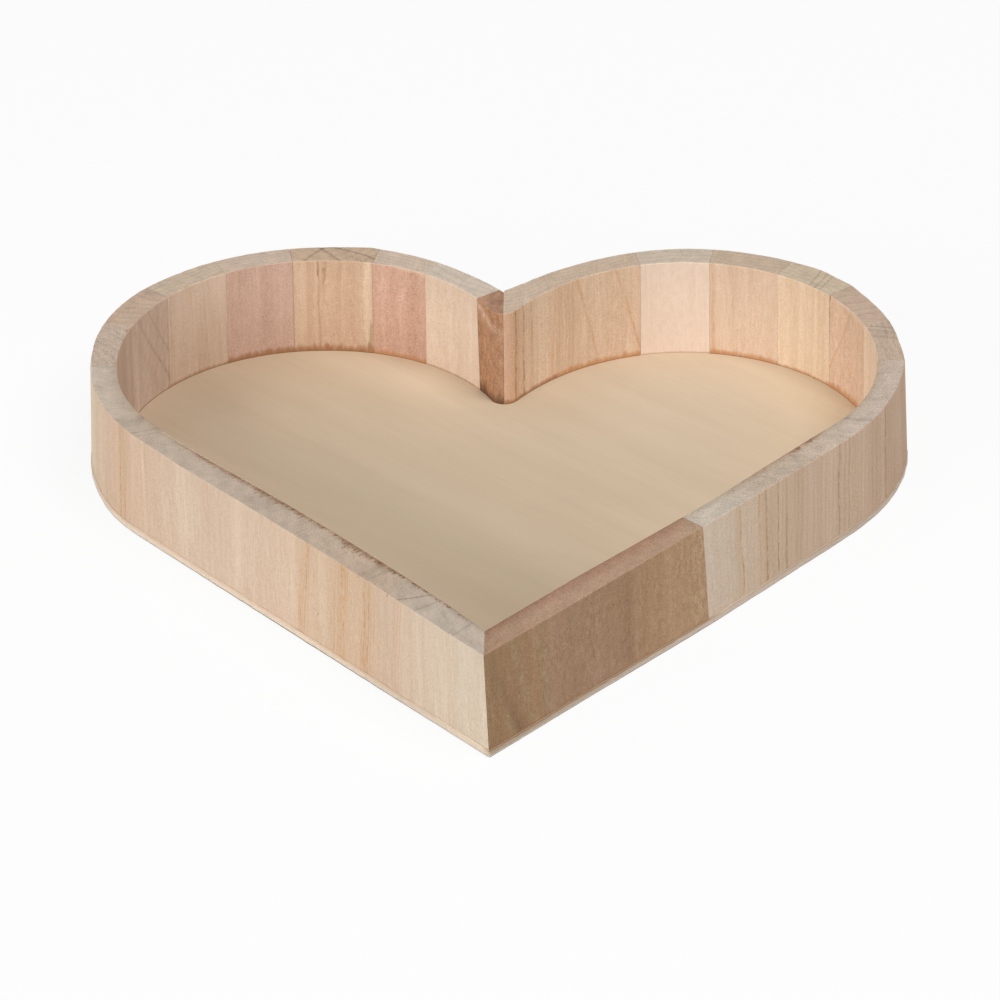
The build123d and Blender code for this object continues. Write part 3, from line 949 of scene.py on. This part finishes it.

# the base: three thin sheets, each with its own grain direction in degrees
# edge and contactShadow: colours by mm to the right of the tip, contactShadow a painted shadow on the edge's
# lowest part;
# paintedShading: spots of painted shade and painted light, mm along the grain and across it, their two half
# sizes, and the tint they give
veneers = {
    "base_face_veneer": {
        "tone": (0.640, 0.516, 0.374), "late": (0.580, 0.453, 0.316), "grain": -42, "inset": -0.3,
        # from 1 to 77 mm right of the tip, the face sheet's edge is painted shadow under the tip board, as
        # dark as the board
        "edge": [
            (-150, (0.70, 0.54, 0.42)), (-69, (0.74, 0.58, 0.45)), (-32, (0.645, 0.495, 0.365)),
            (-10, (0.75, 0.62, 0.48)), (-2, (0.75, 0.62, 0.48)), (1, (0.38, 0.255, 0.16)),
            (77, (0.44, 0.31, 0.21)), (82, (0.67, 0.54, 0.42)), (108, (0.585, 0.455, 0.35)),
            (126, (0.60, 0.46, 0.35)), (150, (0.52, 0.37, 0.28)),
        ],
        # painted shade towards the tip and on the left, painted light near the back walls
        "paintedShading": [
            (60, -25, 55, 40, (0.86, 0.86, 0.84)), (-40, -12, 110, 12, (0.955, 0.968, 0.962)),
            (-165, 0, 45, 60, (0.89, 0.865, 0.86)), (-20, 115, 45, 45, (1.025, 1.04, 1.07)),
            (36, 150, 26, 10, (1.10, 1.10, 1.08)), (-92, 66, 14, 8, (1.08, 1.08, 1.10)),
        ],
    },
    "base_core_veneer": {
        "tone": (0.660, 0.520, 0.385), "late": (0.580, 0.440, 0.310), "grain": 48, "inset": -0.24,
        "edge": [
            (-150, (0.80, 0.66, 0.525)), (-62, (0.80, 0.66, 0.525)), (-32, (0.67, 0.565, 0.46)),
            (-10, (0.74, 0.62, 0.49)), (-2, (0.74, 0.62, 0.49)), (2, (0.50, 0.39, 0.285)),
            (27, (0.565, 0.452, 0.342)), (49, (0.63, 0.516, 0.42)), (89, (0.71, 0.58, 0.47)),
            (126, (0.64, 0.515, 0.405)), (150, (0.74, 0.60, 0.475)),
        ],
    },
    "base_back_veneer": {
        "tone": (0.640, 0.500, 0.360), "late": (0.580, 0.440, 0.305), "grain": -42, "inset": -0.3,
        "lowArris": 0.2,
        "edge": [
            (-150, (0.80, 0.69, 0.58)), (-62, (0.82, 0.71, 0.58)), (-32, (0.71, 0.62, 0.52)),
            (-10, (0.77, 0.66, 0.55)), (-2, (0.77, 0.66, 0.55)), (2, (0.66, 0.57, 0.475)),
            (71, (0.68, 0.59, 0.49)), (150, (0.70, 0.60, 0.50)),
        ],
        # painted contact shadow on the lowest part of the edge, by mm to the right of the tip
        "contactShadow": [
            (-150, (0.62, 0.53, 0.45)), (-118, (0.40, 0.335, 0.26)), (-95, (0.24, 0.20, 0.145)),
            (-69, (0.14, 0.112, 0.08)), (-45, (0.26, 0.22, 0.165)), (-10, (0.50, 0.42, 0.345)),
            (20, (0.52, 0.445, 0.375)), (71, (0.36, 0.30, 0.245)), (90, (0.52, 0.445, 0.375)),
            (150, (0.46, 0.385, 0.32)),
        ],
    },
}


# what the three sheets share
sheet = {
    "limbPoints": 300,
    "lobePoints": 900,
    "halfPoints": 620,
    "limbLong": 196,           # mm, from the tip to the lobe
    "middle": (0, 0.01),       # the rings of faces close on this point
    "rings": 14,
    "least": 0.04,             # the innermost ring's share
    "arris": 0.12,             # mm
    "wear": 0.05 * mm,
    "tuck": 1.0 * mm,          # the edge's colour ends this far in on top, under the rim
}


# the whole outline in plan, anticlockwise from the tip: right limb, right lobe, left lobe, left limb
def outline():
    halves = []
    past, limbCount, lobeCount = cleft["pastDeg"], sheet["limbPoints"], sheet["lobePoints"]
    for side in ("right", "left"):
        limb = limbRun(side, "outside", tip, fromLobe(tangentDeg, outerR), limbCount)
        limbFoot = offLine(side, "limbFoot", np.linspace(0, sheet["limbLong"], limbCount))
        limb = limb - limbInward * limbFoot[:, None]
        deg = np.linspace(tangentDeg, past, lobeCount)
        out = np.stack([np.cos(np.radians(deg)), np.sin(np.radians(deg))], 1)
        lobe = lobeArc(side, "outside", tangentDeg, past, lobeCount)
        lobe = lobe + out * offLine(side, "foot", deg)[:, None]
        lobe = lobe[lobe[:, 0] > mitreX(side)]
        limb = limb[limb[:, 0] >= 0]
        halves.append(evenSteps(np.concatenate([limb[:-1], lobe]), sheet["halfPoints"]))
    left = halves[1][::-1] * [-1, 1]
    points = np.concatenate([halves[0], left[1:-1]])
    points[:, 0] += tipShift(points[:, 0], points[:, 1], 0)
    return points


# A veneer: the outline drawn in towards the middle, a profile from the middle of the underside out to the
# edge, over its small arrises and back to the middle of the top.
def veneerSheet(name, make, seed):
    low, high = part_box(name)
    edge = outline()
    centre = np.array(sheet["middle"])
    reach = np.hypot(*(edge - centre).T)
    inset = make["inset"] * mm + sheet["wear"] * (1 + ripple(seed, 14, 60, 900, walkLength(edge)))
    thick = high.z - low.z
    arris = sheet["arris"] * mm
    lowArris = make.get("lowArris", sheet["arris"]) * mm
    spread = np.linspace(sheet["least"], 1, sheet["rings"]) ** 0.7
    flat = np.zeros_like(spread)
    share = np.concatenate([spread, [1, 1, 1, 1], spread[::-1]])
    draw = np.concatenate([flat + lowArris + arris, [lowArris, 0, 0, arris], flat + arris + sheet["tuck"]])
    rise = np.concatenate([flat, [0, lowArris, thick - arris, thick], flat + thick])
    pull = (reach[:, None] - inset[:, None] - draw) / reach[:, None] * share
    x = centre[0] + (edge[:, :1] - centre[0]) * pull
    y = centre[1] + (edge[:, 1:] - centre[1]) * pull
    z = low.z + rise + x * 0
    rows, cols = z.shape
    points = np.stack([x, y, z], 2).reshape(-1, 3)
    points = np.concatenate([points, [[*centre, low.z], [*centre, high.z]]])
    i = np.arange(rows)[:, None]
    n = (i + 1) % rows
    j = np.arange(cols - 1)[None, :]
    quads = np.stack([i * cols + j, n * cols + j, n * cols + j + 1, i * cols + j + 1], 2).reshape(-1, 4)
    i, n = i[:, 0], n[:, 0]
    lowFan = np.stack([n * cols, i * cols, np.full(rows, rows * cols)], 1)
    highFan = np.stack([i * cols + cols - 1, n * cols + cols - 1, np.full(rows, rows * cols + 1)], 1)
    piece = newMesh(name, points.tolist(), quads.tolist() + lowFan.tolist() + highFan.tolist())
    onEdge = np.concatenate([flat, [1, 1, 1, 1], flat])
    setAttribute(piece, "cutEdge", withEnds(onEdge, z.shape, [0, 0]))
    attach(piece, "root")
    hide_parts(name)
    return piece


# Peeled veneer: object coordinates turned to the grain, lines drawn out along it, a slow figure across it
def veneerLook(name, make, seed):
    look, shader, place = newLook(name)
    turn = (0, 0, math.radians(-make["grain"]))
    turned = place.add("ShaderNodeMapping", None, {0: place, "Rotation": turn})
    u, v = turned.axis(0), turned.axis(1)
    drift = place.noise(u * 0.008, v * 0.02, seed)
    lines = place.noise(u * 0.05, v * 1.9 + drift * 0.6, seed + 1.5, 3.0, 0.6)
    figure = place.noise(u * 0.008, v * 0.12 + drift * 0.3, seed + 3.5)
    cloud = place.noise(u * 0.02, v * 0.03, seed + 5.5)
    pore = place.noise(u * 0.55, v * 2.6, seed + 7.5, 1.0).step(1.15, 1.8)
    tint = (figure * 0.3 + lines * 0.12 + 0.4).clamp().blend(make["tone"], make["late"])
    tint = (1 + lines * 0.042 + cloud * 0.02 - pore * 0.1).scale(tint)
    # soft spots of painted shade and painted light on the floor
    for atU, atV, wideU, wideV, shade in make.get("paintedShading", []):
        x = (u + cloud * 6 - atU) / wideU
        y = (v + cloud * 3 - atV) / wideV
        tint = tint.tinted(x.bell(y).blend((1, 1, 1), shade))
    # the cut edge changes colour from left to right, and its lowest part carries a painted contact shadow
    rightward = place.axis(0)
    strip = 1 + lines * 0.03 + place.noise(u * 0.3, v * 0.3, seed) * 0.05
    strip = strip.scale(rightward.ramp(make["edge"]))
    if "contactShadow" in make:
        shadowedBottom = 1 - place.axis(2).step(0.48, 0.66)
        strip = shadowedBottom.blend(strip, rightward.ramp(make["contactShadow"]))
    wire(shader, "Base Color", place.attribute("cutEdge").step(0.2, 0.8).blend(tint, strip))
    wire(shader, "Roughness", (0.6 + lines * 0.04).clamp())
    bump = place.add("ShaderNodeBump", None, {"Strength": 0.2, "Distance": 0.05 * mm, "Height": lines - pore})
    wire(shader, "Normal", bump)
    return look


for seed, (name, make) in enumerate(veneers.items(), 1):
    piece = veneerSheet(name, make, 900 + seed)
    piece.data.materials.append(veneerLook(name, make, seed * 11.0))
print("base:", len(veneers), "veneers")

# soft boxes, by degrees from the front (right is positive), degrees up, watts per square metre and size
lamps = {
    "key": (-35, 20, 1.32, 1.2),
    "side": (-60, 24, 0.63, 1.4),
    "overhead": (48, 63, 2.40, 1.6),
    "back": (-120, 55, 0.30, 1.4),
}
studio = {
    "away": 2.2,            # how far the lamps stand off
    "aimHigh": 0.02,
    "room": 0.10,           # light from all round
    "table": 0.80,
    "tableWhite": 0.90,     # how white the camera sees the table
    "tableReach": 8,
    "tableSides": 96,
    "tableDrop": 0.0003,
}


def towards(around, up):
    a, e = math.radians(around), math.radians(up)
    return Vector((math.sin(a) * math.cos(e), -math.cos(a) * math.cos(e), math.sin(e)))


for name, (around, up, level, size) in lamps.items():
    lamp = bpy.data.lights.new(name, "AREA")
    lamp.shape = "DISK"
    lamp.size = size
    lamp.energy = level * math.pi * studio["away"] ** 2
    box = bpy.data.objects.new(name, lamp)
    bpy.context.scene.collection.objects.link(box)
    box.rotation_euler = towards(around, up).to_track_quat("Z", "Y").to_euler()
    box.location = towards(around, up) * studio["away"] + Vector((0, 0, studio["aimHigh"]))


# 1 where the camera or a reflection looks straight at the surface
def seen(tree):
    path = tree.nodes.new("ShaderNodeLightPath")
    camera, glossy, through = [Strand(path.outputs[f"Is {kind} Ray"]) for kind in
                               ("Camera", "Glossy", "Transmission")]
    return camera.maths("MAXIMUM", glossy).maths("MAXIMUM", through)


def makeRoom():
    world = bpy.data.worlds.new("room")
    bpy.context.scene.world = world
    world.use_nodes = True
    back = world.node_tree.nodes["Background"]
    back.inputs["Color"].default_value = (1, 1, 1, 1)
    wire(back, "Strength", seen(world.node_tree) * (1 - studio["room"]) + studio["room"])


# the table: a wide disc, white to the camera but for the tray's shadow
def makeTable():
    sides, far = studio["tableSides"], studio["tableReach"]
    a = np.linspace(0, 2 * math.pi, sides + 1)[:-1]
    ring = np.stack([far * np.cos(a), far * np.sin(a), np.full(sides, -studio["tableDrop"])], 1)
    table = newMesh("table", ring.tolist(), [list(range(sides))])
    look = bpy.data.materials.new("table")
    look.use_nodes = True
    tree = look.node_tree
    tree.nodes.remove(tree.nodes["Principled BSDF"])
    direct = seen(tree)
    shade = studio["table"]
    paper = direct.add("ShaderNodeBsdfDiffuse", None, {"Color": (shade, shade, shade, 1)})
    white = direct.add("ShaderNodeEmission", None, {"Color": (1, 1, 1, 1), "Strength": 1.0})
    both = direct.add("ShaderNodeMixShader", None, {0: direct * studio["tableWhite"], 1: paper, 2: white})
    wire(tree.nodes["Material Output"], "Surface", both)
    table.data.materials.append(look)


makeRoom()
makeTable()
print("room:", len(lamps), "lamps")

# camera: a long lens, a little to the right of the tip and above it
lens = {
    "azimuth": math.degrees(0.0274),
    "elevation": math.degrees(0.5500),
    "roll": math.degrees(-0.0132),
    "distance": 3.6,
    "right": 0.4004 * mm,
    "up": -15.46 * mm,
    "pixels": 9774.0,       # focal length in pixels
    "picture": 1000,        # the picture's width in pixels
    "sensor": 36,
    "aim": (0, lobeY, 0),
}


def placeCamera():
    a, e, r = (math.radians(lens[k]) for k in ("azimuth", "elevation", "roll"))
    back = np.array([math.sin(a) * math.cos(e), -math.cos(a) * math.cos(e), math.sin(e)])
    right = np.array([math.cos(a), math.sin(a), 0])
    up = np.cross(back, right)
    turnedRight = math.cos(r) * right + math.sin(r) * up
    turnedUp = -math.sin(r) * right + math.cos(r) * up
    place = np.array(lens["aim"]) + lens["right"] * turnedRight + lens["up"] * turnedUp
    place = place + lens["distance"] * back
    data = bpy.data.cameras.new("camera")
    data.sensor_width = lens["sensor"]
    data.lens = lens["pixels"] / lens["picture"] * lens["sensor"]
    data.clip_end = 100
    camera = bpy.data.objects.new("camera", data)
    bpy.context.scene.collection.objects.link(camera)
    turn = np.stack([turnedRight, turnedUp, back, place], 1).tolist()
    camera.matrix_world = Matrix(turn + [[0, 0, 0, 1]])
    bpy.context.scene.camera = camera


placeCamera()
bpy.context.scene.view_settings.view_transform = "Standard"
